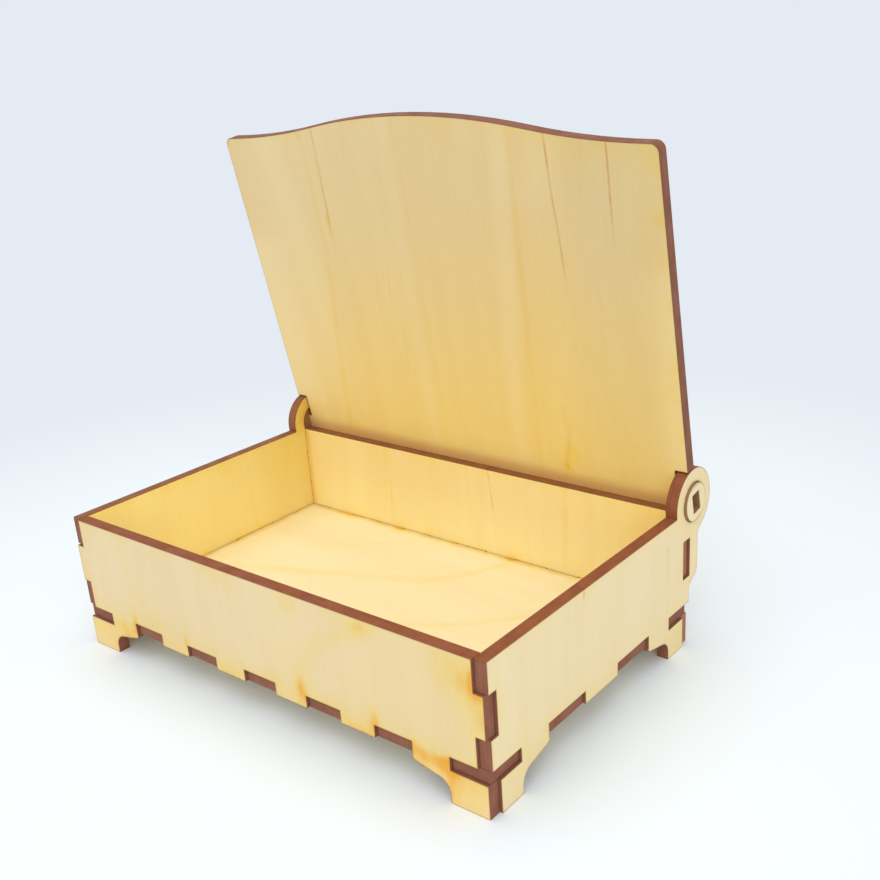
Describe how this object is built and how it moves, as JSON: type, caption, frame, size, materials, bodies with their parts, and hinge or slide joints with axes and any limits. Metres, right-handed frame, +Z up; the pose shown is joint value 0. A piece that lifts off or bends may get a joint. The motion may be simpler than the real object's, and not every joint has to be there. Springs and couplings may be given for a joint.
{
  "type": "keepsake box",
  "caption": "Plywood keepsake box with finger-jointed walls on bracket feet, a tabbed floor and a lid with a raised front edge that turns on wooden discs in ears.",
  "frame": {"origin": "on the table, under the middle of the box that holds the walls, the hinge ears and the open lid", "axes": "+X to the right along the front, +Y from the front to the hinge, +Z up"},
  "size_m": [0.1314, 0.0913, 0.1271],
  "materials": {
    "birch_plywood": "bare sanded face, edges charred brown by the cut"
  },
  "bodies": {
    "case": {"front_wall": "birch_plywood", "back_wall": "birch_plywood", "left_side": "birch_plywood", "right_side": "birch_plywood", "floor_panel": "birch_plywood"},
    "lid_with_discs": {"lid": "birch_plywood", "left_hinge_disc": "birch_plywood", "right_hinge_disc": "birch_plywood"}
  },
  "joints": [
    {"name": "lid_hinge", "type": "hinge", "parent": "case", "child": "lid_with_discs", "pos_m": [0, 0.0372, 0.037], "axis": [-1, 0, 0], "range_deg": [-78.8, 14.8]}
  ]
}
